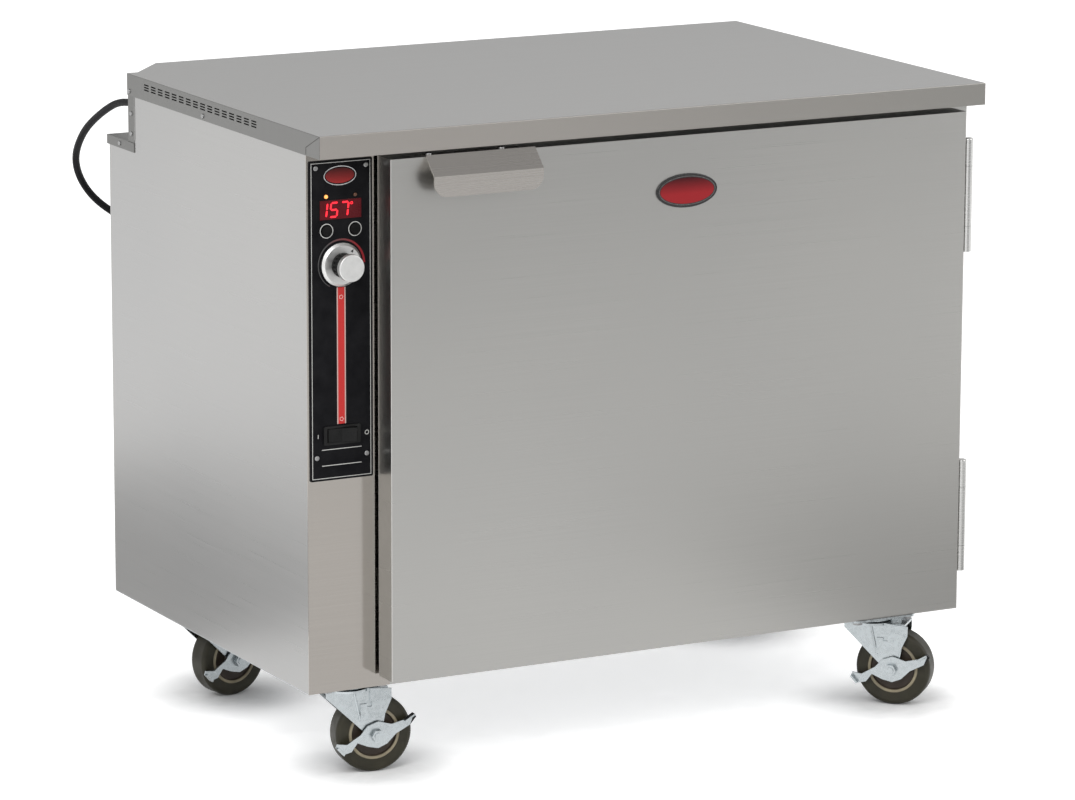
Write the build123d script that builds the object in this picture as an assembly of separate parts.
from build123d import *

import math
import os

# A heated holding cabinet on four braked casters. Millimetres, +Z up, +X to the right seen from
# the front, the front faces -Y, and the floor is at Z 0.

# Overall sizes
OVERALL_HEIGHT = 838.0
WORKTOP_WIDTH = 965.0
WORKTOP_DEPTH = 648.0
WORKTOP_EDGE = 29.0
WORKTOP_SHEET = 1.5
WORKTOP_HEM = 14.0
CASTER_HEIGHT = 121.0
SHEET = 1.2
FOLD = 18.0
SIDE_INSET = 1.5
FRONT_SETBACK = 42.0

# Corner cut and vents of the worktop, from its front left corner
CUT_START = WORKTOP_DEPTH - 64.0
CUT_STEP = 15.0
CUT_RIGHT = 69.0
VENT_FIRST = 182.0
VENT_PITCH = 22.1
VENT_GROUPS = 16
VENT_ROWS = 3
VENT_LENGTH = 15.0
VENT_HEIGHT = 1.8
VENT_ROW_PITCH = 3.4
VENT_DROP = 11.6

# Recess for the cord at the upper back
RECESS_START = WORKTOP_DEPTH - 83.0
RECESS_DROP = 104.0
RECESS_PAN = 20.0
LEDGE_HEIGHT = 12.5
LEDGE_REACH = 6.0
LEDGE_LIP = 1.0
SKIRT_SCREW_RISE = 5.5
SKIRT_SCREW_GAPS = (7.0, 240.0)
RECESS_SCREW_GAPS = (24.0, 51.0)
LEDGE_SCREW_GAP = 36.0

# Door
DOOR_LEFT = 97.0
DOOR_RIGHT = WORKTOP_WIDTH - 28.5
DOOR_TOP_DROP = 36.0
DOOR_FLOOR_GAP = 15.0
DOOR_BOTTOM_DROP = OVERALL_HEIGHT - CASTER_HEIGHT - DOOR_FLOOR_GAP
BADGE_DROP = 107.0
BADGE_HALF_WIDTH = 44.4
BADGE_HALF_HEIGHT = 22.0
BADGE_THICK = 2.0
DOOR_SKIN = 1.2
DOOR_DEPTH = 35.0
DOOR_LINER = 1.5
GASKET_INSET = 20.0
GASKET_WIDTH = 14.0
FACE_GAP = 0.3
MAGNET_END_GAP = 113.0

# Cavity and its surround
COLUMN_WIDTH = 115.0
OPENING_LEFT = 133.0
OPENING_RIGHT = WORKTOP_WIDTH - 65.0
OPENING_TOP_DROP = 72.0
OPENING_SILL = 51.0
OPENING_BOTTOM_DROP = OVERALL_HEIGHT - CASTER_HEIGHT - OPENING_SILL
CAVITY_BACK = WORKTOP_DEPTH - 113.0
INSULATION = 24.0
RAIL_BACKS = (180.0, 390.0)
RAIL_WIDTH = 60.0
RAIL_HEIGHT = 12.0
WEB_LEFT = 105.5

# Pull on the door's top edge
HANDLE_LEFT = 145.0
HANDLE_WIDTH = 153.0
HANDLE_SHEET = 2.0
HANDLE_SEAT = 14.0
HANDLE_SLOPE = 23.0
HANDLE_GRIP = 26.0
HANDLE_CORNER = 18.0
HANDLE_SCREWS = (152.0, 254.0)
HANDLE_SCREW_BACK = 6.0

# Hinges
HINGE_AXIS_OUT = 8.0
HINGE_AXIS_BACK = 7.0
KNUCKLE_RADIUS = 6.5
HINGE_PIN_RADIUS = 3.0
PIN_CLEARANCE = 0.05
HINGE_DROPS = (DOOR_TOP_DROP + 39.0, DOOR_BOTTOM_DROP - 196.0)
KNUCKLES = (34.0, 80.0, 34.0)
LEAF = 2.0
DOOR_LEAF_REACH = 24.0
FRAME_LEAF_REACH = 26.0

# Control panel on the column
PANEL_LEFT = 4.5
PANEL_TOP_DROP = 37.6
PANEL_WIDTH = 87.0
PANEL_HEIGHT = 405.0
PANEL_PLATE = 1.5
PANEL_CORNER = 2.0
PANEL_SCREW_EDGE = 9.0
PANEL_SCREW_FOOT = 30.0
DISPLAY_WIDTH = 57.0
DISPLAY_HEIGHT = 24.0
DISPLAY_DROP = 62.5
LAMP_RADIUS = 2.4
LAMP_DROP = 45.5
LAMP_STAND = 1.4
BOARD_BACK = 14.0
LAMP_SPREAD = 20.0
BUTTON_RADIUS = 6.6
BUTTON_DROP = 88.5
BUTTON_SPREAD = 19.6
BUTTON_STAND = 2.6
BUTTON_CLEARANCE = 0.3
KNOB_DROP = 132.0
SKIRT_RADIUS = 27.5
SKIRT_THICK = 5.0
KNOB_CORE_RADIUS = 15.5
KNOB_CAP_RADIUS = 17.2
KNOB_HEIGHT = 32.0
KNOB_CAP_THICK = 7.0
SPINDLE_RADIUS = 3.0
SPINDLE_DEPTH = 14.0
SWITCH_FOOT = 57.2
SWITCH_DROP = PANEL_HEIGHT - SWITCH_FOOT
BEZEL_WIDTH = 51.0
BEZEL_HEIGHT = 24.0
BEZEL_STAND = 2.0
ROCKER_WIDTH = 37.0
ROCKER_HEIGHT = 17.0
ROCKER_POCKET = 41.5
ROCKER_TILT = 10.0
RUNNING = 0.06

# Fan, heater, duct and racks inside
FAN_BACK = 300.0
FAN_DROP = (OPENING_TOP_DROP + OPENING_BOTTOM_DROP) / 2
FAN_RADIUS = 70.0
FAN_WIDTH = 18.0
FAN_BLADES = 10
FAN_SHAFT_RADIUS = 4.0
MOTOR_RADIUS = 36.0
MOTOR_LENGTH = 58.0
DUCT_DEPTH = 34.0
DUCT_FRONT = 110.0
DUCT_BACK = CAVITY_BACK - 45.0
DUCT_END_GAP = 50.0
DUCT_TOP_DROP = OPENING_TOP_DROP + DUCT_END_GAP
DUCT_BOTTOM_DROP = OPENING_BOTTOM_DROP - DUCT_END_GAP
HEATER_RADIUS = 95.0
HEATER_TUBE = 4.0
RACK_POST = 14.0
RACK_DEPTH = 20.0
RACK_FRONT = 72.0
RACK_BACK = CAVITY_BACK - 35.0
SLIDE_COUNT = 7
SLIDE_FIRST_DROP = 160.0
SLIDE_LAST_GAP = 62.0
SLIDE_PITCH = (OPENING_BOTTOM_DROP - SLIDE_LAST_GAP - SLIDE_FIRST_DROP) / (SLIDE_COUNT - 1)
SLIDE_LEDGE = 22.0
SLIDE_SHEET = 1.6
PAN_WIDTH = 300.0
PAN_DEPTH = 200.0
PAN_HEIGHT = 55.0

# Casters: swivel places from the worktop's front left corner, and how far each has turned
CASTERS = {
    "front_left": (75.4, 88.8, -7.0),
    "front_right": (WORKTOP_WIDTH - 114.0, 74.0, -46.0),
    "back_left": (68.5, WORKTOP_DEPTH - 151.6, 10.0),
    "back_right": (WORKTOP_WIDTH - 114.0, WORKTOP_DEPTH - 152.0, 5.0),
}
WHEEL_RADIUS = 50.8
WHEEL_WIDTH = 31.8
WHEEL_CORNER = 6.0
TRAIL = 33.0
AXLE_RADIUS = 4.75
LEG_GAP = 2.2
LEG_SHEET = 2.6
CROWN_TOP_DROP = 8.3
CROWN_SHEET = 3.0
RACE_RADIUS = 27.0
PLATE_LENGTH = 96.0
PLATE_WIDTH = 68.0
PLATE_SHEET = 3.0
BOLT_SPREAD_X = 38.0
BOLT_SPREAD_Y = 25.0
BOLT_RADIUS = 4.0
LEVER_SHEET = 2.4
LEVER_REACH = 55.0
NUT_RADIUS = 8.4

# Power cord
CORD_RADIUS = 5.0
GLAND_LEFT = 32.0
GLAND_DROP = 50.0
GLAND_LENGTH = 38.0
COIL_RADIUS = 55.0
COIL_LEFT = 420.0
COIL_BACK = 745.0
COIL_PITCH = 10.9
COIL_LOWER = 2.75
COIL_CLIMB = 0.5
COIL_UPPER = 0.75

LEFT = -WORKTOP_WIDTH / 2
RIGHT = WORKTOP_WIDTH / 2
HANDLE_OUT = HANDLE_SLOPE + HANDLE_SHEET
FRONT = -(WORKTOP_DEPTH + LEDGE_REACH - HANDLE_OUT) / 2
BACK = FRONT + WORKTOP_DEPTH
TOP = OVERALL_HEIGHT
BODY_LEFT = LEFT + SIDE_INSET
BODY_RIGHT = RIGHT - SIDE_INSET
BODY_TOP = TOP - WORKTOP_EDGE
BODY_BOTTOM = CASTER_HEIGHT
FACE = FRONT + FRONT_SETBACK
BEHIND_FACE = FACE + SHEET

os.makedirs("parts", exist_ok=True)


def block(x, y, z):
    """A box between two values on each axis."""
    size = (x[1] - x[0], y[1] - y[0], z[1] - z[0])
    centre = ((x[0] + x[1]) / 2, (y[0] + y[1]) / 2, (z[0] + z[1]) / 2)
    return Pos(*centre) * Box(*size)


def tray(x, y, z, sheet, open_axis, open_sign):
    """A folded pan: a block hollowed out from one open side."""
    spans = [list(x), list(y), list(z)]
    inner = [[low + sheet, high - sheet] for low, high in spans]
    side = 1 if open_sign > 0 else 0
    inner[open_axis][side] += open_sign * 2 * sheet
    return block(*spans) - block(*inner)


def rod(start, direction, length, radius):
    """A round bar from a point along a direction."""
    return extrude(Plane(origin=start, z_dir=direction) * Circle(radius), amount=length)


def flat(points, plane=Plane.XY):
    """A face with straight edges on a plane."""
    return make_face(plane * Polyline(*points, close=True))


def save(node, *solids):
    """Writes one sub-part, made of one or more solids."""
    loose = [s for piece in solids for s in piece.solids()]
    shape = loose[0] if len(loose) == 1 else Compound(children=loose)
    shape.label = node
    export_step(shape, f"parts/{node}.step")


def screw_places():
    """Where the small pan-head screws sit, each with the way out of its surface."""
    panel_x = (LEFT + PANEL_LEFT + PANEL_SCREW_EDGE, LEFT + PANEL_LEFT + PANEL_WIDTH - PANEL_SCREW_EDGE)
    top = TOP - PANEL_TOP_DROP
    panel_z = (top - PANEL_SCREW_EDGE, top - PANEL_HEIGHT + PANEL_SCREW_FOOT)
    face = FACE - PANEL_PLATE
    panel = [((x, face, z), (0, -1, 0)) for x in panel_x for z in panel_z]
    skirt_z = TOP - WORKTOP_EDGE + SKIRT_SCREW_RISE
    side = [((LEFT, FRONT + CUT_START - gap, skirt_z), (-1, 0, 0)) for gap in SKIRT_SCREW_GAPS]
    recess_y = FRONT + RECESS_START + RECESS_PAN / 2
    recess = [((BODY_LEFT, recess_y, BODY_TOP - gap), (-1, 0, 0)) for gap in RECESS_SCREW_GAPS]
    ledge_z = TOP - RECESS_DROP + LEDGE_HEIGHT / 2
    ledge = [((BODY_LEFT - LEDGE_LIP, BACK - LEDGE_SCREW_GAP, ledge_z), (-1, 0, 0))]
    return panel + side + recess + ledge


SCREW_SHANK = 1.5
SCREW_HEAD = 3.2
SCREW_HEAD_HEIGHT = 1.6
SCREW_LENGTH = 5.0


def pan_head(place, outward):
    """A pan-head screw with its head on a surface."""
    away = Vector(*outward)
    head = rod(place, away, SCREW_HEAD_HEIGHT, SCREW_HEAD)
    rim = head.faces().sort_by(Axis(place, outward))[-1].edges()
    head = fillet(rim, SCREW_HEAD_HEIGHT * 0.6)
    return head + rod(place, -away, SCREW_LENGTH, SCREW_SHANK)


def screw_holes(solid):
    """The solid with a clearance hole for each screw that passes through it."""
    for place, outward in screw_places():
        away = Vector(*outward)
        start = Vector(*place) + away * 0.5
        solid = solid - rod(start, -away, SCREW_LENGTH + 1.0, SCREW_SHANK + FACE_GAP)
    return solid


def worktop():
    """The folded worktop, with its rear corner cut for the cord and vents in its left edge."""
    step_x = LEFT + CUT_STEP
    cut_y = FRONT + CUT_START
    points = [(LEFT, FRONT), (RIGHT, FRONT), (RIGHT, BACK), (LEFT + CUT_RIGHT, BACK), (step_x, cut_y), (LEFT, cut_y)]
    outline = Pos(0, 0, BODY_TOP) * flat(points)
    inside = offset(outline, amount=-WORKTOP_SHEET, kind=Kind.INTERSECTION)
    mouth = offset(outline, amount=-WORKTOP_HEM, kind=Kind.INTERSECTION)
    solid = extrude(outline, amount=WORKTOP_EDGE)
    upper = solid.faces().sort_by(Axis.Z)[-1].edges()
    solid = fillet(upper, WORKTOP_SHEET * 0.8)
    solid -= Pos(0, 0, WORKTOP_SHEET) * extrude(inside, amount=WORKTOP_EDGE - 2 * WORKTOP_SHEET)
    solid -= extrude(mouth, amount=WORKTOP_EDGE / 2)
    slots = []
    for group in range(VENT_GROUPS):
        for row in range(VENT_ROWS):
            y = FRONT + VENT_FIRST + group * VENT_PITCH
            z = TOP - VENT_DROP + (row - (VENT_ROWS - 1) / 2) * VENT_ROW_PITCH
            slot = Pos(LEFT, y + VENT_LENGTH / 2, z) * Box(4 * WORKTOP_SHEET, VENT_LENGTH, VENT_HEIGHT)
            slots.append(slot)
    return solid - slots


def side_panels():
    """The two side sheets with folded edges; the left one stops short of the recess, as does the right."""
    y0, y1 = BEHIND_FACE, BACK - SHEET
    z0, z1 = BODY_BOTTOM + SHEET, BODY_TOP
    notch_y, notch_z = FRONT + RECESS_START, TOP - RECESS_DROP
    points = [(y0, z0), (y1, z0), (y1, notch_z), (notch_y, notch_z), (notch_y, z1), (y0, z1)]
    side = Plane(origin=(BODY_LEFT, 0, 0), x_dir=(0, 1, 0), z_dir=(1, 0, 0))
    outline = make_face(Polyline(*points, close=True))
    inside = offset(outline, amount=-SHEET, kind=Kind.INTERSECTION)
    pan = extrude(outline, amount=FOLD) - Pos(0, 0, SHEET) * extrude(inside, amount=FOLD)
    left = side * pan
    return screw_holes(left), mirror(left, about=Plane.YZ)


def rear_and_recess():
    """The lower back sheet, the shallow pan of the recess and the ledge between them."""
    ledge_top = TOP - RECESS_DROP + LEDGE_HEIGHT
    rear = block((BODY_LEFT, BODY_RIGHT), (BACK - SHEET, BACK), (BODY_BOTTOM + SHEET, TOP - RECESS_DROP))
    pan_y = (FRONT + RECESS_START, FRONT + RECESS_START + RECESS_PAN)
    recess = tray((BODY_LEFT, BODY_RIGHT), pan_y, (ledge_top, BODY_TOP), SHEET, 1, -1)
    recess -= rod((LEFT + GLAND_LEFT, pan_y[1] + 1, TOP - GLAND_DROP), (0, -1, 0), 12.0, 8.3)
    ledge = tray(
        (BODY_LEFT - LEDGE_LIP, BODY_RIGHT + LEDGE_LIP),
        (FRONT + RECESS_START, BACK + LEDGE_REACH),
        (TOP - RECESS_DROP, ledge_top),
        SHEET,
        2,
        -1,
    )
    ledge -= block(
        (BODY_LEFT, BODY_RIGHT),
        (FRONT + RECESS_START - 1, FRONT + RECESS_START + SHEET),
        (TOP - RECESS_DROP - 1, ledge_top - SHEET),
    )
    return screw_holes(rear), screw_holes(recess), screw_holes(ledge)


def panel_point(drop, across=0.0):
    """A point on the front of the control plate, by its distance below the plate's top edge."""
    centre = LEFT + PANEL_LEFT + PANEL_WIDTH / 2
    return (centre + across, FACE - PANEL_PLATE, TOP - PANEL_TOP_DROP - drop)


def control_cutouts(solid):
    """The holes for the display, lamps, buttons, knob spindle and switch."""
    reach = 12.0
    x, y, z = panel_point(DISPLAY_DROP)
    solid -= Pos(x, y, z) * Box(DISPLAY_WIDTH + 2 * FACE_GAP, reach, DISPLAY_HEIGHT + 2 * FACE_GAP)
    x, y, z = panel_point(SWITCH_DROP)
    solid -= Pos(x, y, z) * Box(BEZEL_WIDTH - 5, reach, BEZEL_HEIGHT - 3)
    for side in (-1, 1):
        for drop, spread, radius in (
            (LAMP_DROP, LAMP_SPREAD, LAMP_RADIUS + FACE_GAP),
            (BUTTON_DROP, BUTTON_SPREAD, BUTTON_RADIUS + BUTTON_CLEARANCE),
        ):
            x, y, z = panel_point(drop, side * spread)
            solid -= rod((x, y - reach / 2, z), (0, 1, 0), reach, radius)
    x, y, z = panel_point(KNOB_DROP)
    return solid - rod((x, y - reach / 2, z), (0, 1, 0), reach, SPINDLE_RADIUS + 1.0)


def control_column():
    """The column's face with the web behind it that closes off the control compartment."""
    face = block((BODY_LEFT, LEFT + COLUMN_WIDTH), (FACE, BEHIND_FACE), (BODY_BOTTOM, BODY_TOP))
    web = block(
        (LEFT + WEB_LEFT, LEFT + WEB_LEFT + SHEET),
        (FACE, FRONT + RECESS_START),
        (BODY_BOTTOM + 6, BODY_TOP),
    )
    web -= wall_passages(WEB_LEFT)
    return screw_holes(control_cutouts(face + web))


def door_frame():
    """The flat surround of the cavity's mouth."""
    plate = block((LEFT + COLUMN_WIDTH, BODY_RIGHT), (FACE, BEHIND_FACE), (BODY_BOTTOM, BODY_TOP))
    mouth = block(
        (LEFT + OPENING_LEFT, LEFT + OPENING_RIGHT),
        (FACE - 1, BEHIND_FACE + 1),
        (TOP - OPENING_BOTTOM_DROP, TOP - OPENING_TOP_DROP),
    )
    return plate - mouth


def base_pan():
    """The floor sheet with two stiffening rails above the casters."""
    floor = block((BODY_LEFT, BODY_RIGHT), (BEHIND_FACE, BACK - SHEET), (BODY_BOTTOM, BODY_BOTTOM + SHEET))
    for y in RAIL_BACKS:
        floor += block(
            (LEFT + COLUMN_WIDTH, RIGHT - COLUMN_WIDTH),
            (FRONT + y - RAIL_WIDTH / 2, FRONT + y + RAIL_WIDTH / 2),
            (BODY_BOTTOM + SHEET, BODY_BOTTOM + SHEET + RAIL_HEIGHT),
        )
    holes = []
    for left, back, _ in CASTERS.values():
        for x, y in bolt_places():
            place = (LEFT + left + x, FRONT + back + y, BODY_BOTTOM - 1)
            holes.append(rod(place, (0, 0, 1), RAIL_HEIGHT + 4, BOLT_RADIUS + FACE_GAP))
    return floor - holes


def bolt_places():
    """The four bolts of a caster plate, from the swivel axis."""
    return [(x, y) for x in (-BOLT_SPREAD_X, BOLT_SPREAD_X) for y in (-BOLT_SPREAD_Y, BOLT_SPREAD_Y)]


def liner_block(grow):
    """The block of the cavity liner, grown evenly except at its mouth."""
    return block(
        (LEFT + OPENING_LEFT - grow, LEFT + OPENING_RIGHT + grow),
        (BEHIND_FACE, FRONT + CAVITY_BACK + grow),
        (TOP - OPENING_BOTTOM_DROP - grow, TOP - OPENING_TOP_DROP + grow),
    )


def fan_axis(left):
    """A point on the fan's axis, by its distance from the worktop's left edge."""
    return (LEFT + left, FRONT + FAN_BACK, TOP - FAN_DROP)


def cavity():
    """The liner of the cavity and the blanket of insulation round it."""
    liner = liner_block(SHEET) - Pos(0, -SHEET, 0) * liner_block(0)
    blanket = liner_block(INSULATION) - liner_block(SHEET)
    passages = wall_passages(OPENING_LEFT - INSULATION)
    return liner - passages, blanket - passages


def wall_passages(from_left):
    """The holes for the fan's shaft and the heater's ends, from a wall's left side to the cavity."""
    length = OPENING_LEFT - from_left + 10
    start = LEFT + from_left - 5
    _, y, z = fan_axis(from_left)
    holes = [rod((start, y, z), (1, 0, 0), length, FAN_SHAFT_RADIUS + 1.0)]
    for _, y, z in heater_ends():
        holes.append(rod((start, y, z), (1, 0, 0), length, HEATER_TUBE + FACE_GAP))
    return holes


def heater_ends():
    """The two points where the heater's loop turns towards the compartment."""
    x, y, z = fan_axis(OPENING_LEFT + DUCT_DEPTH * 0.45)
    angle = math.radians(15)
    return [(x, y + side * HEATER_RADIUS * math.sin(angle), z - HEATER_RADIUS * math.cos(angle)) for side in (-1, 1)]


def heater():
    """A tubular heating loop round the fan, with both ends out through the liner."""
    x, y, z = fan_axis(OPENING_LEFT + DUCT_DEPTH * 0.45)
    ring_plane = Plane(origin=(x, y, z), x_dir=(0, 0, -1), z_dir=(1, 0, 0))
    start = Plane(origin=(HEATER_RADIUS, 0, 0), z_dir=(0, 1, 0)) * Circle(HEATER_TUBE)
    ring = ring_plane * (Rot(0, 0, 15) * revolve(start, Axis.Z, 330))
    for place in heater_ends():
        ring += rod(place, (-1, 0, 0), place[0] - LEFT - WEB_LEFT + 12, HEATER_TUBE)
    return ring


def fan():
    """The motor in the compartment, and the bladed wheel with its shaft in the duct."""
    face = WEB_LEFT
    motor = rod(fan_axis(face - MOTOR_LENGTH), (1, 0, 0), MOTOR_LENGTH, MOTOR_RADIUS)
    motor = fillet(motor.edges().filter_by(GeomType.CIRCLE), 3.0)
    motor += rod(fan_axis(face - MOTOR_LENGTH - 8), (1, 0, 0), 8, 12)
    bore = FAN_SHAFT_RADIUS + PIN_CLEARANCE
    motor -= rod(fan_axis(face - 30), (1, 0, 0), 31, bore)
    wheel_x = OPENING_LEFT + 6
    wheel = rod(fan_axis(face - 29), (1, 0, 0), wheel_x + FAN_WIDTH + 2 - face + 29, FAN_SHAFT_RADIUS)
    wheel += rod(fan_axis(wheel_x), (1, 0, 0), SHEET, FAN_RADIUS)
    wheel += rod(fan_axis(wheel_x), (1, 0, 0), FAN_WIDTH, FAN_SHAFT_RADIUS * 2.5)
    blade = Pos(0, 0, (FAN_RADIUS + 30) / 2) * Rot(0, 0, 20) * Box(FAN_WIDTH, SHEET, FAN_RADIUS - 32)
    x, y, z = fan_axis(wheel_x + FAN_WIDTH / 2)
    for index in range(FAN_BLADES):
        wheel += Pos(x, y, z) * Rot(360 / FAN_BLADES * index, 0, 0) * blade
    return motor, wheel


def air_duct():
    """The cover over the fan and heater, with a drilled inlet and rows of outlet slots."""
    x = (LEFT + OPENING_LEFT, LEFT + OPENING_LEFT + DUCT_DEPTH)
    y = (FRONT + DUCT_FRONT, FRONT + DUCT_BACK)
    z = (TOP - DUCT_BOTTOM_DROP, TOP - DUCT_TOP_DROP)
    cover = tray(x, y, z, SHEET, 0, -1)
    holes = []
    middle_y, middle_z = FRONT + FAN_BACK, TOP - FAN_DROP
    for ring, count in ((0, 1), (1, 6), (2, 12)):
        for index in range(count):
            angle = 2 * math.pi * index / count
            place = (x[1] - 4, middle_y + 20 * ring * math.cos(angle), middle_z + 20 * ring * math.sin(angle))
            holes.append(rod(place, (1, 0, 0), 8, 6.0))
    for column in (-1, 1):
        for row in range(-4, 5):
            place = Pos(x[1], middle_y + column * 150, middle_z + row * 48)
            holes.append(place * Box(8, 40, 8))
    return cover - holes


def rack(wall_x, inward, standoff):
    """Two posts against a cavity wall with angle slides between them."""
    front, back = FRONT + RACK_FRONT, FRONT + RACK_BACK
    bottom = TOP - OPENING_BOTTOM_DROP
    top = TOP - SLIDE_FIRST_DROP + 30
    near, far = wall_x, wall_x + inward * (standoff + RACK_POST)
    span = (min(near, far), max(near, far))
    solid = block(span, (front, front + RACK_DEPTH), (bottom, top))
    solid += block(span, (back, back + RACK_DEPTH), (bottom, top))
    for index in range(SLIDE_COUNT):
        z = TOP - SLIDE_FIRST_DROP - index * SLIDE_PITCH
        edge = far + inward * SLIDE_LEDGE
        ledge = (min(far, edge), max(far, edge))
        skin = far + inward * SLIDE_SHEET
        upright = (min(far, skin), max(far, skin))
        solid += block(ledge, (front, back + RACK_DEPTH), (z - SLIDE_SHEET, z))
        solid += block(upright, (front, back + RACK_DEPTH), (z - SLIDE_SHEET, z + 16))
    return solid


def water_pan():
    """The open humidity pan on the cavity floor."""
    x = LEFT + (OPENING_LEFT + OPENING_RIGHT) / 2
    y = FRONT + CAVITY_BACK - PAN_DEPTH / 2 - 60
    z = TOP - OPENING_BOTTOM_DROP
    body = Pos(x, y, z + PAN_HEIGHT / 2) * Box(PAN_WIDTH, PAN_DEPTH, PAN_HEIGHT)
    body = fillet(body.edges().filter_by(Axis.Z), 20.0)
    hollow = Pos(x, y, z + PAN_HEIGHT / 2 + SHEET) * Box(PAN_WIDTH - 2 * SHEET, PAN_DEPTH - 2 * SHEET, PAN_HEIGHT)
    hollow = fillet(hollow.edges().filter_by(Axis.Z), 20.0 - SHEET)
    rim = Pos(x, y, z + PAN_HEIGHT - SHEET) * Box(PAN_WIDTH + 16, PAN_DEPTH + 16, SHEET)
    rim = fillet(rim.edges().filter_by(Axis.Z), 28.0)
    rim = Pos(0, 0, SHEET / 2) * rim
    return body + rim - hollow


def control_panel():
    """The black plate, its window, lamps and buttons."""
    x, y, z = panel_point(PANEL_HEIGHT / 2)
    plate = Pos(x, y + PANEL_PLATE / 2, z) * Box(PANEL_WIDTH, PANEL_PLATE, PANEL_HEIGHT)
    plate = fillet(plate.edges().filter_by(Axis.Y), PANEL_CORNER)
    x, y, z = panel_point(DISPLAY_DROP)
    window = Pos(x, y + PANEL_PLATE / 2, z) * Box(DISPLAY_WIDTH, PANEL_PLATE * 0.8, DISPLAY_HEIGHT)
    lamps, buttons = [], []
    for side in (-1, 1):
        x, y, z = panel_point(LAMP_DROP, side * LAMP_SPREAD)
        lamp = rod((x, y - LAMP_STAND, z), (0, 1, 0), BEHIND_FACE + BOARD_BACK - y + LAMP_STAND, LAMP_RADIUS)
        lamps.append(fillet(lamp.edges().sort_by(Axis.Y)[0], LAMP_RADIUS * 0.45))
        x, y, z = panel_point(BUTTON_DROP, side * BUTTON_SPREAD)
        button = rod((x, y - BUTTON_STAND, z), (0, 1, 0), BUTTON_STAND + 7.0, BUTTON_RADIUS)
        buttons.append(fillet(button.edges().sort_by(Axis.Y)[0], 0.8))
    return screw_holes(control_cutouts(plate)), window, lamps, buttons


def control_board():
    """The circuit board on four posts, with the display module up to the window."""
    x, y, z = panel_point((LAMP_DROP + BUTTON_DROP) / 2)
    board_y = BEHIND_FACE + BOARD_BACK
    board = Pos(x, board_y + 0.8, z) * Box(78, 1.6, 72)
    for dx in (-25, 25):
        for dz in (-32, 32):
            board += rod((x + dx, BEHIND_FACE, z + dz), (0, 1, 0), BOARD_BACK + 0.5, 2.5)
    x, y, z = panel_point(DISPLAY_DROP)
    return board + block(
        (x - DISPLAY_WIDTH / 2, x + DISPLAY_WIDTH / 2),
        (FACE - PANEL_PLATE * 0.1 + 0.3, board_y + 0.5),
        (z - DISPLAY_HEIGHT / 2, z + DISPLAY_HEIGHT / 2),
    )


def knob():
    """The turned skirt, the fluted core with its spindle, and the bright end cap."""
    x, y, z = panel_point(KNOB_DROP)
    base = y - 0.6
    skirt = rod((x, base - SKIRT_THICK, z), (0, 1, 0), SKIRT_THICK, SKIRT_RADIUS)
    skirt = chamfer(skirt.edges().sort_by(Axis.Y)[0], SKIRT_THICK * 0.6, 3.0)
    front = base - SKIRT_THICK
    core_end = y - KNOB_HEIGHT + KNOB_CAP_THICK
    core = rod((x, core_end, z), (0, 1, 0), front - core_end, KNOB_CORE_RADIUS)
    flutes = []
    for index in range(18):
        angle = 2 * math.pi * index / 18
        reach = KNOB_CORE_RADIUS + 0.6
        place = (x + reach * math.cos(angle), core_end - 1, z + reach * math.sin(angle))
        flutes.append(rod(place, (0, 1, 0), front - core_end - 4, 1.6))
    core -= flutes
    core += rod((x, front - 1, z), (0, 1, 0), y + PANEL_PLATE + SHEET + SPINDLE_DEPTH - front + 1, SPINDLE_RADIUS)
    skirt -= rod((x, front - 1, z), (0, 1, 0), SKIRT_THICK + 2, SPINDLE_RADIUS)
    cap = rod((x, y - KNOB_HEIGHT, z), (0, 1, 0), KNOB_CAP_THICK, KNOB_CAP_RADIUS)
    cap = fillet(cap.edges().sort_by(Axis.Y)[0], 1.2)
    thermostat = Pos(x, BEHIND_FACE + 12, z) * Box(42, 24, 42)
    bore = SPINDLE_RADIUS + PIN_CLEARANCE
    thermostat -= rod((x, BEHIND_FACE - 1, z), (0, 1, 0), SPINDLE_DEPTH + 3, bore)
    return skirt, core, cap, thermostat


def switch():
    """The switch housing with its bezel, and the rocker tilted to its on side."""
    x, y, z = panel_point(SWITCH_DROP)
    bezel = Pos(x, y - BEZEL_STAND / 2, z) * Box(BEZEL_WIDTH, BEZEL_STAND, BEZEL_HEIGHT)
    bezel = fillet(bezel.edges().filter_by(Axis.Y), 2.0)
    housing = bezel + Pos(x, y + 12, z) * Box(BEZEL_WIDTH - 6, 24, BEZEL_HEIGHT - 4)
    housing -= Pos(x, y + 3, z) * Box(ROCKER_POCKET, 2 * (3 + BEZEL_STAND), ROCKER_HEIGHT + 1.0)
    pivot_y = y + 1.0
    half = ROCKER_WIDTH / 2
    profile = [(-half, 1.0), (-half, -6.5), (0, -4.5), (half, -6.5), (half, 1.0), (0, 4.5)]
    face = flat(profile, Plane.XY)
    rocker = Pos(0, 0, -ROCKER_HEIGHT / 2) * extrude(face, amount=ROCKER_HEIGHT, dir=(0, 0, 1))
    rocker = Pos(x, pivot_y, z) * Rot(0, 0, -ROCKER_TILT) * rocker
    return housing, rocker


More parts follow.
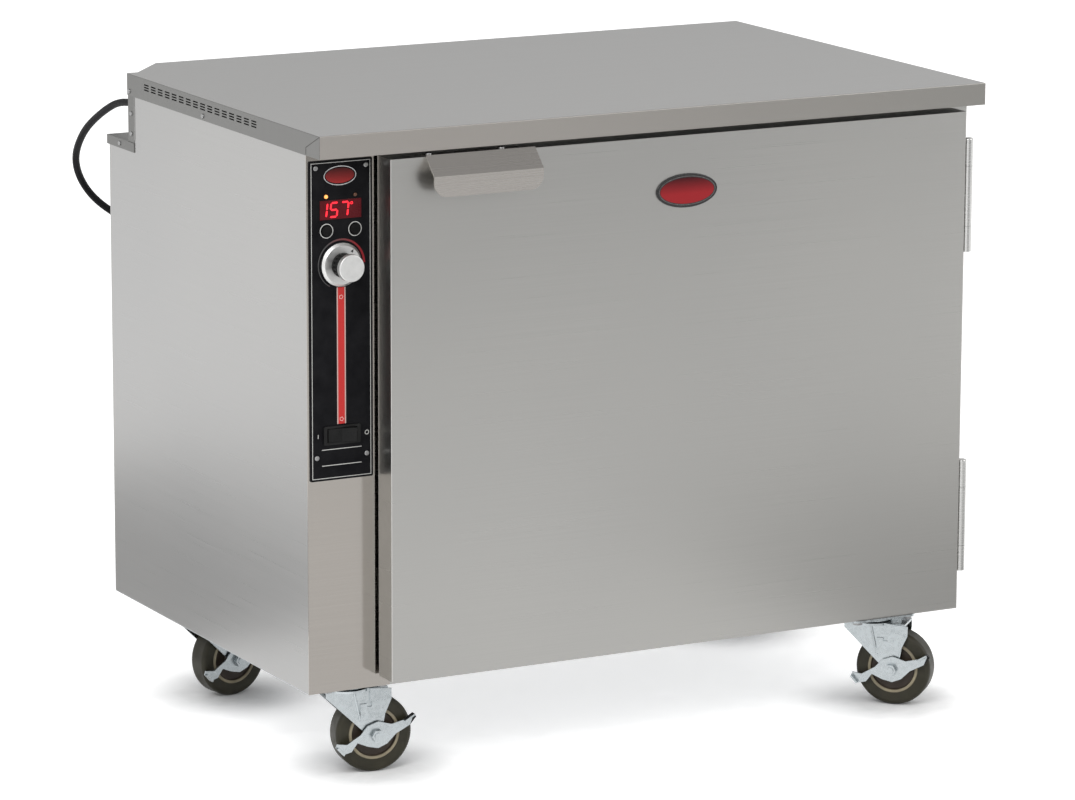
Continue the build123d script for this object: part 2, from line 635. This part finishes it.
def door():
    """The door's folded outer skin, its liner, core, gasket and blank oval plate."""
    x = (LEFT + DOOR_LEFT, LEFT + DOOR_RIGHT)
    z = (TOP - DOOR_BOTTOM_DROP, TOP - DOOR_TOP_DROP)
    skin = tray(x, (FRONT, FRONT + DOOR_DEPTH), z, DOOR_SKIN, 1, 1)
    outer = skin.edges().filter_by(Axis.Z).group_by(Axis.Y)[0]
    outer = [e for e in outer if abs(abs(e.center().X - (x[0] + x[1]) / 2) - (x[1] - x[0]) / 2) < 0.01]
    skin = fillet(outer, DOOR_SKIN * 0.9)
    liner_y = (FRONT + DOOR_DEPTH, FRONT + DOOR_DEPTH + DOOR_LINER)
    liner = block(x, liner_y, z)
    core = block(
        (x[0] + DOOR_SKIN, x[1] - DOOR_SKIN),
        (FRONT + DOOR_SKIN, FRONT + DOOR_DEPTH),
        (z[0] + DOOR_SKIN, z[1] - DOOR_SKIN - 8),
    )
    gasket_y = (liner_y[1], FACE - FACE_GAP)
    ring_x = (x[0] + GASKET_INSET, x[1] - GASKET_INSET)
    ring_z = (z[0] + GASKET_INSET, z[1] - GASKET_INSET)
    gasket = block(ring_x, gasket_y, ring_z)
    gasket -= block(
        (ring_x[0] + GASKET_WIDTH, ring_x[1] - GASKET_WIDTH),
        (gasket_y[0] - 1, gasket_y[1] + 1),
        (ring_z[0] + GASKET_WIDTH, ring_z[1] - GASKET_WIDTH),
    )
    for place in HANDLE_SCREWS:
        hole = rod((LEFT + place, FRONT + HANDLE_SCREW_BACK, z[1] + 1), (0, 0, -1), 6, 2.3)
        skin -= hole
    badge_place = ((x[0] + x[1]) / 2, FRONT, TOP - BADGE_DROP)
    badge_plane = Plane(origin=badge_place, x_dir=(1, 0, 0), z_dir=(0, -1, 0))
    badge = badge_plane * extrude(Ellipse(BADGE_HALF_WIDTH, BADGE_HALF_HEIGHT), amount=BADGE_THICK)
    badge = fillet(badge.edges().sort_by(Axis.Y)[0], 1.0)
    return skin, liner, core, gasket, badge


def handle():
    """The bent plate pull: a seat on the door's top edge, a slope outwards and a grip with round corners."""
    seat_z = TOP - DOOR_TOP_DROP + HANDLE_SHEET / 2
    path = [
        (FRONT + HANDLE_SEAT, seat_z),
        (FRONT - 1.0, seat_z),
        (FRONT - HANDLE_SLOPE - HANDLE_SHEET / 2, seat_z - HANDLE_SLOPE),
        (FRONT - HANDLE_SLOPE - HANDLE_SHEET / 2, seat_z - HANDLE_SLOPE - HANDLE_GRIP),
    ]
    side = Plane(origin=(LEFT + HANDLE_LEFT, 0, 0), x_dir=(0, 1, 0), z_dir=(1, 0, 0))
    section = trace(Polyline(*path), HANDLE_SHEET)
    plate = extrude(side * section, amount=HANDLE_WIDTH)
    low = seat_z - HANDLE_SLOPE - HANDLE_GRIP
    corners = [e for e in plate.edges().filter_by(Axis.Y) if e.center().Z < low + 2]
    plate = fillet(corners, HANDLE_CORNER)
    screws = []
    for place in HANDLE_SCREWS:
        top = (LEFT + place, FRONT + HANDLE_SCREW_BACK, seat_z + HANDLE_SHEET / 2)
        plate -= rod((top[0], top[1], top[2] + 1), (0, 0, -1), HANDLE_SHEET + 2, 2.3)
        head = rod(top, (0, 0, 1), 2.2, 4.5)
        head = fillet(head.edges().sort_by(Axis.Z)[-1], 1.2)
        screws.append(head + rod(top, (0, 0, -1), 7.0, 2.0))
    return plate, screws


def hinges():
    """Three-knuckle hinges: leaves on the frame and on the door, and the pins."""
    axis_x = LEFT + DOOR_RIGHT + HINGE_AXIS_OUT
    axis_y = FRONT + HINGE_AXIS_BACK
    bore = HINGE_PIN_RADIUS + PIN_CLEARANCE
    frame_leaves, door_leaves, pins = [], [], []
    for drop in HINGE_DROPS:
        levels = [TOP - drop]
        for length in KNUCKLES:
            levels.append(levels[-1] - length)
        total = (levels[-1], levels[0])
        middle = (levels[2] + FACE_GAP, levels[1] - FACE_GAP)
        web_x = (axis_x + KNUCKLE_RADIUS - LEAF, axis_x + KNUCKLE_RADIUS)
        frame = block(web_x, (axis_y, FACE), total)
        frame -= block((web_x[0] - 1, web_x[1] + 1), (axis_y - 1, axis_y + KNUCKLE_RADIUS + 1.5), middle)
        frame += block((web_x[1] - FRAME_LEAF_REACH, web_x[1]), (FACE - LEAF, FACE), total)
        door_x = (LEFT + DOOR_RIGHT, LEFT + DOOR_RIGHT + LEAF)
        leaf = block(door_x, (axis_y, axis_y + DOOR_LEAF_REACH), total)
        for pair in ((levels[0], levels[1]), (levels[2], levels[3])):
            zone = (min(pair) - 0.6, max(pair) + 0.6)
            leaf -= block((door_x[0] - 1, door_x[1] + 1), (axis_y - 1, axis_y + KNUCKLE_RADIUS + 1.5), zone)
            frame += rod((axis_x, axis_y, min(pair)), (0, 0, 1), max(pair) - min(pair), KNUCKLE_RADIUS)
        leaf += rod((axis_x, axis_y, middle[0]), (0, 0, 1), middle[1] - middle[0], KNUCKLE_RADIUS)
        hole = rod((axis_x, axis_y, total[0] - 1), (0, 0, 1), total[1] - total[0] + 2, bore)
        frame_leaves.append(frame - hole)
        door_leaves.append(leaf - hole)
        pin = rod((axis_x, axis_y, total[0]), (0, 0, 1), total[1] - total[0], HINGE_PIN_RADIUS)
        button = rod((axis_x, axis_y, total[1]), (0, 0, 1), 3.0, KNUCKLE_RADIUS)
        pins.append(pin + fillet(button.edges().sort_by(Axis.Z)[-1], 2.4))
    return frame_leaves, door_leaves, pins


def wheel_place():
    """The wheel's centre in the caster's own frame: the swivel axis is Z and it trails towards +X."""
    return Pos(TRAIL, 0, WHEEL_RADIUS)


def wheel():
    """A wheel with rounded tread, a raised ring on each face and a dished hub."""
    half = WHEEL_WIDTH / 2
    rim = WHEEL_RADIUS
    bore = AXLE_RADIUS + PIN_CLEARANCE
    side = [
        (bore, half + 1.6),
        (13.0, half + 1.6),
        (14.5, half - 3.5),
        (29.0, half - 3.5),
        (30.5, half - 0.4),
        (33.5, half - 0.4),
        (34.5, half - 1.4),
        (rim - WHEEL_CORNER, half),
    ]
    right = [Vector(r, 0, w) for r, w in side]
    left = [Vector(r, 0, -w) for r, w in reversed(side)]
    tread_r = Vector(rim, 0, half - WHEEL_CORNER)
    tread_l = Vector(rim, 0, -half + WHEEL_CORNER)
    mid = WHEEL_CORNER * (1 - math.sqrt(0.5))
    lines = [Polyline(*right)]
    lines.append(ThreePointArc(right[-1], Vector(rim - mid, 0, half - mid), tread_r))
    lines.append(Line(tread_r, tread_l))
    lines.append(ThreePointArc(tread_l, Vector(rim - mid, 0, mid - half), left[0]))
    lines.append(Polyline(*left))
    lines.append(Line(left[-1], right[0]))
    solid = revolve(make_face(Curve() + lines), Axis.Z, 360)
    return wheel_place() * Rot(90, 0, 0) * solid


def leg_outline(plane):
    """The tapered side of the fork, from the crown down to the axle."""
    crown = CASTER_HEIGHT - CROWN_TOP_DROP
    points = [(-33, crown), (50, crown), (50, crown - 12), (TRAIL + 11, WHEEL_RADIUS + 16)]
    points += [(TRAIL + 11, WHEEL_RADIUS), (TRAIL - 11, WHEEL_RADIUS), (-33, crown - 9)]
    return flat(points, plane) + plane * Pos(TRAIL, WHEEL_RADIUS) * Circle(11)


def fork():
    """The pressed fork with its crown, brake housing, axle bolt and nut."""
    crown_z = CASTER_HEIGHT - CROWN_TOP_DROP
    leg_y = WHEEL_WIDTH / 2 + LEG_GAP
    solid = None
    for sign in (-1, 1):
        inner = sign * leg_y
        outer = sign * (leg_y + LEG_SHEET)
        plane = Plane(origin=(0, max(inner, outer), 0), x_dir=(1, 0, 0), z_dir=(0, -1, 0))
        leg = extrude(leg_outline(plane), amount=LEG_SHEET, dir=(0, -1, 0))
        solid = leg if solid is None else solid + leg
    reach = leg_y + LEG_SHEET
    crown = block((-33, 50), (-reach, reach), (crown_z - CROWN_SHEET, crown_z))
    crown += rod((0, 0, crown_z - CROWN_SHEET), (0, 0, 1), CROWN_SHEET, RACE_RADIUS + 3)
    solid += crown
    solid = fillet(solid.edges().filter_by(Axis.X).group_by(Axis.Z)[-1].sort_by(Axis.Y)[0], 1.5)
    solid -= rod((0, 0, crown_z - 10), (0, 0, 1), 12, 6.0 + RUNNING)
    solid -= rod((TRAIL, -reach - 1, WHEEL_RADIUS), (0, 1, 0), 2 * reach + 2, AXLE_RADIUS + PIN_CLEARANCE)
    cover_y = -reach
    cover_plane = Plane(origin=(0, cover_y, 0), x_dir=(1, 0, 0), z_dir=(0, -1, 0))
    cover_points = [(12, crown_z - 20), (25, crown_z - 20), (25, crown_z), (54, crown_z - 2)]
    cover_points += [(54, crown_z - 16), (TRAIL + 9, WHEEL_RADIUS + 20), (12, WHEEL_RADIUS + 20)]
    cover = extrude(flat(cover_points, cover_plane), amount=1.8, dir=(0, -1, 0))
    cover -= block((21, 27), (cover_y - 4, cover_y + 1), (crown_z - 24, crown_z - 17))
    bead = rod((4, cover_y + 0.4, crown_z - 4), (0.22, 0, -1), 40, 1.6)
    solid += cover
    solid += bead
    bolt_head = reach + 5
    bolt = rod((TRAIL, -reach - 12, WHEEL_RADIUS), (0, 1, 0), reach + 12 + bolt_head, AXLE_RADIUS)
    head_plane = Plane(origin=(TRAIL, reach, WHEEL_RADIUS), x_dir=(1, 0, 0), z_dir=(0, 1, 0))
    bolt += extrude(head_plane * RegularPolygon(NUT_RADIUS, 6), amount=6)
    nut_y = -reach - 1.8 - LEVER_SHEET - 0.6
    nut_plane = Plane(origin=(TRAIL, nut_y, WHEEL_RADIUS), x_dir=(1, 0, 0), z_dir=(0, -1, 0))
    bolt += extrude(nut_plane * RegularPolygon(NUT_RADIUS, 6), amount=6)
    return solid, bolt


def lever():
    """The two-armed brake lever that turns on the axle in front of the fork."""
    back = -(WHEEL_WIDTH / 2 + LEG_GAP + LEG_SHEET) - 1.8 - 0.3
    plane = Plane(origin=(TRAIL, back, WHEEL_RADIUS), x_dir=(1, 0, 0), z_dir=(0, -1, 0))
    right = [(2, 18), (20, 13), (36, 17), (LEVER_REACH - 6, 25), (LEVER_REACH - 2, 20)]
    right += [(LEVER_REACH - 10, 10), (26, 0), (14, -12), (2, -17)]
    left = [(-12, -14), (-26, -8), (-34, -19), (-46, -22), (-LEVER_REACH, -12), (-LEVER_REACH + 2, -7)]
    left += [(-40, -9), (-22, 2), (-12, 13)]
    face = plane * make_face(Polyline(*(right + left), close=True))
    plate = extrude(face, amount=LEVER_SHEET, dir=(0, -1, 0))
    solid = plate
    for lip in (
        [(-46, -22), (-LEVER_REACH, -12), (-LEVER_REACH + 2, -10.5), (-44.5, -20)],
        [(36, 17), (LEVER_REACH - 6, 25), (LEVER_REACH - 5, 23), (37, 15)],
    ):
        solid += extrude(flat(lip, plane), amount=8, dir=(0, -1, 0))
    bore = AXLE_RADIUS + PIN_CLEARANCE
    return solid - rod((TRAIL, back + 1, WHEEL_RADIUS), (0, -1, 0), 12, bore)


def caster_plate():
    """The mounting plate with the ball race, the kingpin under the crown, and its four bolts."""
    crown_z = CASTER_HEIGHT - CROWN_TOP_DROP
    plate = block(
        (-PLATE_LENGTH / 2, PLATE_LENGTH / 2),
        (-PLATE_WIDTH / 2, PLATE_WIDTH / 2),
        (CASTER_HEIGHT - PLATE_SHEET, CASTER_HEIGHT),
    )
    plate = fillet(plate.edges().filter_by(Axis.Z), 8.0)
    race = rod((0, 0, crown_z + FACE_GAP), (0, 0, 1), CASTER_HEIGHT - PLATE_SHEET - crown_z, RACE_RADIUS)
    plate += fillet(race.edges().sort_by(Axis.Z)[0], 2.0)
    plate += rod((0, 0, crown_z - CROWN_SHEET - 1), (0, 0, 1), CROWN_SHEET + 2, 6.0)
    plate += rod((0, 0, crown_z - CROWN_SHEET - 4.3), (0, 0, 1), 4.0, 11.0)
    bolts = []
    for x, y in bolt_places():
        plate -= rod((x, y, CASTER_HEIGHT - 5), (0, 0, 1), 7, BOLT_RADIUS + FACE_GAP)
        head_z = CASTER_HEIGHT - PLATE_SHEET
        head = extrude(Plane(origin=(x, y, head_z - 3.2)) * RegularPolygon(7.0, 6), amount=3.2)
        bolts.append(head + rod((x, y, head_z), (0, 0, 1), PLATE_SHEET + SHEET + 3, BOLT_RADIUS))
    return plate, bolts


def cord_point(left, back, drop):
    """A point of the cord's route, measured from the worktop's front left top corner."""
    return (LEFT + left, FRONT + back, TOP - drop)


def gland():
    """The nut on the recess and the tapered strain relief that the cord leaves through."""
    wall = FRONT + RECESS_START + RECESS_PAN
    x, z = LEFT + GLAND_LEFT, TOP - GLAND_DROP
    plane = Plane(origin=(x, wall, z), x_dir=(1, 0, 0), z_dir=(0, 1, 0))
    nut = extrude(plane * RegularPolygon(14.0, 6), amount=7)
    nut += rod((x, wall - 9, z), (0, 1, 0), 10, 8.0)
    sleeve_length = GLAND_LENGTH - 7
    sleeve_plane = Plane(origin=(x, wall + 7, z), x_dir=(1, 0, 0), z_dir=(0, 1, 0))
    sleeve = sleeve_plane * Pos(0, 0, sleeve_length / 2) * Cone(10.5, CORD_RADIUS + 1.2, sleeve_length)
    return nut + sleeve


ROUTE = [
    (32, 623, 50),
    (32, 672, 50),
    (32, 742, 76),
    (33, 815, 115),
    (46, 878, 168),
    (82, 905, 222),
    (135, 902, 260),
    (190, 885, 320),
    (232, 852, 410),
    (264, 812, 520),
    (284, 770, 635),
    (290, 728, 735),
    (312, 686, 812),
]
LAST_RUN = 50.0


def rounded(points):
    """Straight runs joined by tangent arcs, each as large as its two runs allow."""
    radii = []
    for before, here, after in zip(points, points[1:], points[2:]):
        run_in = Vector(*here) - Vector(*before)
        run_out = Vector(*after) - Vector(*here)
        turn = math.radians(run_in.get_angle(run_out))
        radii.append(0.45 * min(run_in.length, run_out.length) / math.tan(turn / 2))
    return FilletPolyline(*points, radius=radii), radii


def coil_point(turn):
    """A point and direction on the coil: in along the floor, a climb, out on top, and up to the plug."""
    inner = COIL_RADIUS - COIL_LOWER * COIL_PITCH / 2
    top_inner = inner - COIL_CLIMB * COIL_PITCH
    height, rise = coil_height(turn)
    if turn <= COIL_LOWER + COIL_CLIMB:
        radius, growth = inner + (COIL_LOWER - turn) * COIL_PITCH, -COIL_PITCH
    else:
        radius, growth = top_inner + (turn - COIL_LOWER - COIL_CLIMB) * COIL_PITCH, COIL_PITCH
    angle = 2 * math.pi * turn - math.pi / 2
    outward = Vector(math.cos(angle), math.sin(angle), 0)
    along = Vector(-math.sin(angle), math.cos(angle), 0)
    centre = Vector(LEFT + COIL_LEFT, FRONT + COIL_BACK, CORD_RADIUS)
    place = centre + outward * radius + Vector(0, 0, height)
    heading = along * (2 * math.pi * radius) + outward * growth + Vector(0, 0, rise)
    return place, heading.normalized()


def coil_height(turn):
    """How high the coil's centre line is above the floor turns, and how fast it rises per turn."""
    height, rise = 0.0, 0.0
    for start in (COIL_LOWER, COIL_LOWER + COIL_UPPER):
        share = min(max((turn - start) / COIL_CLIMB, 0.0), 1.0)
        height += COIL_PITCH * (1 - math.cos(math.pi * share)) / 2
        rise += COIL_PITCH * math.pi * math.sin(math.pi * share) / 2 / COIL_CLIMB
    return height, rise


def biarc(p0, t0, p1, t1):
    """Two arcs that leave p0 along t0 and reach p1 along t1."""
    v = p1 - p0
    t = t0 + t1
    spread = 2 * (1 - t0.dot(t1))
    reach = (-v.dot(t) + math.sqrt(v.dot(t) ** 2 + spread * v.dot(v))) / spread
    joint = (p0 + p1 + (t0 - t1) * reach) * 0.5
    first = Edge.make_tangent_arc(p0, t0, joint)
    return [first, Edge.make_tangent_arc(joint, first % 1, p1)]


def tube(path):
    """A round cord along a path."""
    section = Plane(origin=path @ 0, z_dir=path % 0) * Circle(CORD_RADIUS)
    return sweep(section, path=path)


def cord():
    """The free lead, its put-away coil on the floor behind the cabinet, and the plug."""
    points = [cord_point(*place) for place in ROUTE]
    first, heading = coil_point(0.0)
    turns = COIL_LOWER + COIL_CLIMB + COIL_UPPER
    entry = first - heading * (2 * CORD_RADIUS)
    points.append(tuple(entry - heading * LAST_RUN))
    points.append(tuple(entry))
    lead, radii = rounded(points)
    lead_solid = tube(lead)
    area = math.pi * CORD_RADIUS**2
    print("cord radii", [round(r) for r in radii])
    print("cord lead length", round(lead.length), "volume share", round(lead_solid.volume / (area * lead.length), 4))
    edges = [Edge.make_line(entry, first)]
    quarter = 0.25
    samples = []
    for index in range(round(turns / quarter)):
        start, start_way = coil_point(index * quarter)
        end, end_way = coil_point((index + 1) * quarter)
        edges += biarc(start, start_way, end, end_way)
        samples += [coil_point((index + step / 8) * quarter)[0] for step in range(8)]
    last, last_way = coil_point(turns)
    exit_point = last + last_way * (2 * CORD_RADIUS)
    edges.append(Edge.make_line(last, exit_point))
    coil_wire = Wire(edges)
    coil_solid = tube(coil_wire)
    gap = min(
        (a - b).length - 2 * CORD_RADIUS
        for i, a in enumerate(samples)
        for j, b in enumerate(samples)
        if j - i >= 16
    )
    print("coil length", round(coil_wire.length), "least gap", round(gap, 2))
    plug_plane = Plane(origin=exit_point, z_dir=last_way)
    plug = plug_plane * Pos(0, 0, 11) * Cone(CORD_RADIUS + 1.2, 9.0, 22)
    plug += plug_plane * Pos(0, 0, 22 + 13) * Cylinder(15.0, 26)
    plug += plug_plane * Pos(0, 0, 48 + 1) * Cylinder(17.0, 2)
    for across in (-6.3, 6.3):
        plug += plug_plane * Pos(across, 0, 50 + 9) * Box(1.6, 6.4, 18)
    plug += plug_plane * Pos(0, 11.5, 50 + 9.5) * Cylinder(2.4, 19)
    return lead_solid, coil_solid, plug


save("worktop", screw_holes(worktop()))
left_side, right_side = side_panels()
save("left_side_panel", left_side)
save("right_side_panel", right_side)
rear, recess, ledge = rear_and_recess()
save("rear_panel", rear)
save("recess_panel", recess)
save("recess_ledge", ledge)
save("control_column", control_column())
save("door_frame", door_frame())
save("base_pan", base_pan())
liner_solid, blanket = cavity()
save("inner_liner", liner_solid)
save("cabinet_insulation", blanket)
save("rack_left", rack(LEFT + OPENING_LEFT, 1, DUCT_DEPTH))
save("rack_right", rack(LEFT + OPENING_RIGHT, -1, 6.0))
save("air_duct", air_duct())
fan_motor, fan_wheel = fan()
save("fan_motor", fan_motor)
save("fan_wheel", fan_wheel)
save("heater_element", heater())
save("water_pan", water_pan())
plate, window, lamps, buttons = control_panel()
save("control_plate", plate)
save("display_window", window)
save("indicator_lamps", *lamps)
save("button_left", buttons[0])
save("button_right", buttons[1])
save("control_board", control_board())
skirt, core, cap, thermostat = knob()
save("knob_skirt", skirt)
save("knob_core", core)
save("knob_cap", cap)
save("thermostat", thermostat)
housing, rocker = switch()
save("switch_housing", housing)
save("switch_rocker", rocker)
save("cover_screws", *[pan_head(place, outward) for place, outward in screw_places()])
skin, door_liner, door_core, gasket, badge = door()
save("door_outer_skin", skin)
save("door_inner_skin", door_liner)
save("door_insulation", door_core)
save("door_gasket", gasket)
save("door_badge", badge)
pull, pull_screws = handle()
save("door_handle", pull)
save("handle_screws", *pull_screws)
frame_leaves, door_leaves, pins = hinges()
save("hinge_frame_leaves", *frame_leaves)
save("hinge_door_leaves", *door_leaves)
save("hinge_pins", *pins)
magnets = []
for drop in (DOOR_TOP_DROP + MAGNET_END_GAP, DOOR_BOTTOM_DROP - MAGNET_END_GAP):
    magnet_x = (LEFT + DOOR_LEFT + 3, LEFT + DOOR_LEFT + 3 + 12)
    magnet_y = (FRONT + DOOR_DEPTH + DOOR_LINER + FACE_GAP, FACE)
    magnets.append(block(magnet_x, magnet_y, (TOP - drop - 25, TOP - drop + 25)))
save("magnet_catches", *magnets)
one_plate, one_bolts = caster_plate()
one_wheel = wheel()
one_fork, one_axle = fork()
one_lever = lever()
plates, bolts = [], []
for name, (left, back, turned) in CASTERS.items():
    fixed = Pos(LEFT + left, FRONT + back, 0)
    swung = fixed * Rot(0, 0, turned)
    plates.append(fixed * one_plate)
    bolts += [fixed * bolt for bolt in one_bolts]
    save(f"caster_wheel_{name}", swung * one_wheel)
    save(f"caster_fork_{name}", swung * one_fork, swung * one_axle)
    save(f"caster_brake_{name}", swung * one_lever)
save("caster_plates", *plates)
save("caster_bolts", *bolts)
save("cord_gland", gland())
lead_solid, coil_solid, plug = cord()
save("power_cord", lead_solid)
save("power_cord_coil", coil_solid)
save("power_plug", plug)
